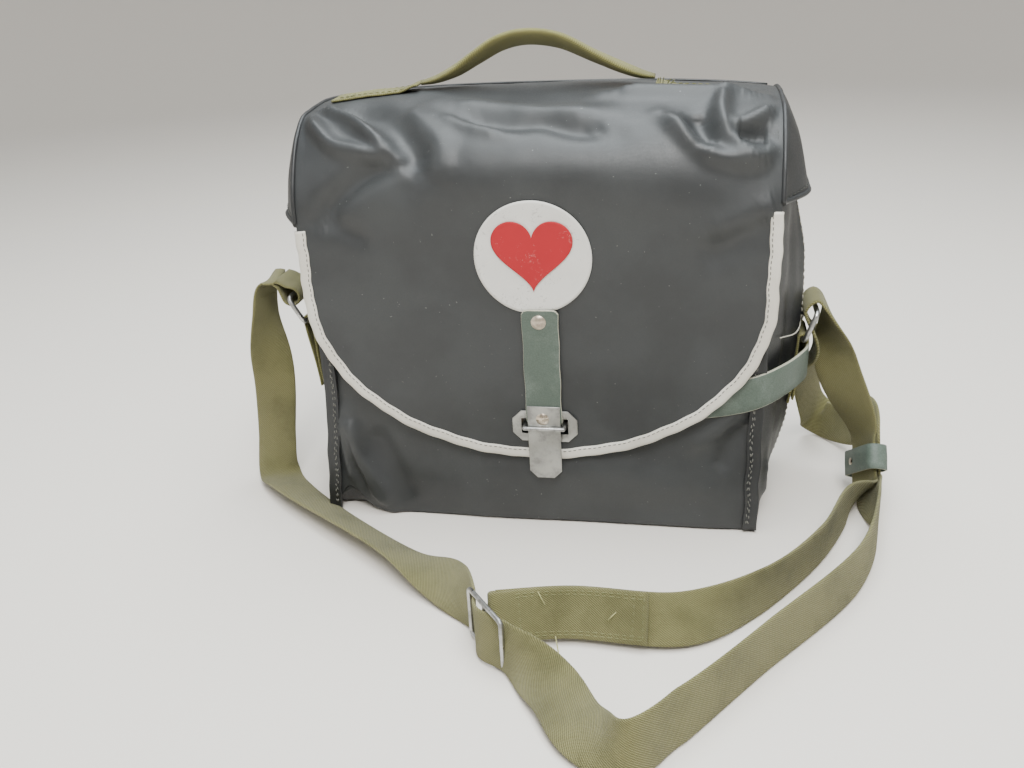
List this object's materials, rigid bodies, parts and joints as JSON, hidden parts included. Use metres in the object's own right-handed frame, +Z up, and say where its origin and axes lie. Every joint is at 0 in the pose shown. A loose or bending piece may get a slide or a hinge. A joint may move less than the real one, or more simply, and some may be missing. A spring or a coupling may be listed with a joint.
{
  "type": "first aid bag",
  "caption": "Boxy coated-fabric shoulder bag with a full front flap closed by a slotted plate and strap, webbing carrying handle and webbing shoulder strap, packed with dressings.",
  "frame": {"origin": "middle of the bag's base on the surface it stands on, without the shoulder strap", "axes": "+Z up; -Y out of the front flap; +X towards the side strap"},
  "size_m": [0.5337, 0.4376, 0.3698],
  "materials": {
    "vinyl": "coated fabric, semi-gloss",
    "vinyl_trim": "coated fabric, semi-gloss",
    "lining": "plain cotton",
    "binding": "stitched tape",
    "webbing": "cotton webbing, fine diagonal weave",
    "leather": "dyed green, light cut edges",
    "zinc": "zinc plated, worn",
    "rivet": "domed, dull",
    "steel": "polished",
    "emblem_white": "printed film",
    "emblem_red": "printed film",
    "gauze": "bleached cotton",
    "wrapper": "waxed paper and cloth",
    "tin": "plain",
    "board": "fibreboard"
  },
  "bodies": {
    "bag": {"front_panel": "vinyl", "back_panel": "vinyl", "base_panel": "vinyl", "gusset_left": "vinyl", "gusset_right": "vinyl", "front_seam_flanges": "vinyl_trim", "rear_seam_flanges": "vinyl_trim", "mouth_hem": "vinyl_trim", "base_board": "board", "divider": "lining", "staple_plate": "zinc", "staple_rivets": "rivet", "staple": "zinc", "chape_left": "webbing", "chape_right": "webbing", "side_strap": "leather", "side_strap_rivets": "rivet", "bandage_rolls": "gauze", "dressing_packs": "wrapper", "triangular_bandages": "gauze", "tape_spool": "tin", "adhesive_tape": "gauze", "scissors_lower_half": "steel", "scissors_screw": "steel", "shoulder_strap": "webbing", "strap_end_loop": "webbing", "strap_sewn_end": "webbing", "strap_slider": "zinc"},
    "scissors_half": {"scissors_upper_half": "steel"},
    "lid": {"lid_top": "vinyl", "lid_front": "vinyl", "lid_ear_left": "vinyl", "lid_ear_right": "vinyl", "flap_binding": "binding", "emblem_disc": "emblem_white", "emblem_heart": "emblem_red", "handle_tail_left": "webbing", "handle_tail_right": "webbing", "slot_plate": "zinc", "closing_strap_root": "leather", "strap_rivet": "rivet"},
    "handle": {"handle_web": "webbing"},
    "strap_tongue": {"closing_strap": "leather", "closing_tongue": "zinc", "tongue_rivet": "rivet"},
    "left_ring": {"ring_left": "zinc"},
    "right_ring": {"ring_right": "zinc"},
    "keeper": {"strap_keeper": "leather", "keeper_rivet": "rivet"}
  },
  "joints": [
    {"name": "lid_hinge", "type": "hinge", "parent": "bag", "child": "lid", "pos_m": [0, 0.0656, 0.317], "axis": [-1, 0, 0], "range_deg": [0, 150]},
    {"name": "handle_fold", "type": "hinge", "parent": "lid", "child": "handle", "pos_m": [0, 0.012, 0.3336], "axis": [1, 0, 0], "range_deg": [-35, 35]},
    {"name": "closing_strap_lift", "type": "hinge", "parent": "lid", "child": "strap_tongue", "pos_m": [0.007, -0.0793, 0.1667], "axis": [-1, 0, 0], "range_deg": [0, 110], "deforming": ["closing_strap", "closing_tongue", "tongue_rivet"]},
    {"name": "left_ring_swing", "type": "hinge", "parent": "bag", "child": "left_ring", "pos_m": [-0.1987, 0, 0.15], "axis": [0, 1, 0], "range_deg": [-7, 7]},
    {"name": "right_ring_swing", "type": "hinge", "parent": "bag", "child": "right_ring", "pos_m": [0.1987, 0, 0.142], "axis": [0, 1, 0], "range_deg": [-7, 7]},
    {"name": "keeper_slide", "type": "slide", "parent": "bag", "child": "keeper", "axis": [0, 0.6357, 0.7719], "range_m": [-0.004, 0.006]},
    {"name": "scissors_open", "type": "hinge", "parent": "bag", "child": "scissors_half", "pos_m": [-0.07, 0, 0.115], "axis": [0, 0, -1], "range_deg": [0, 30]}
  ]
}
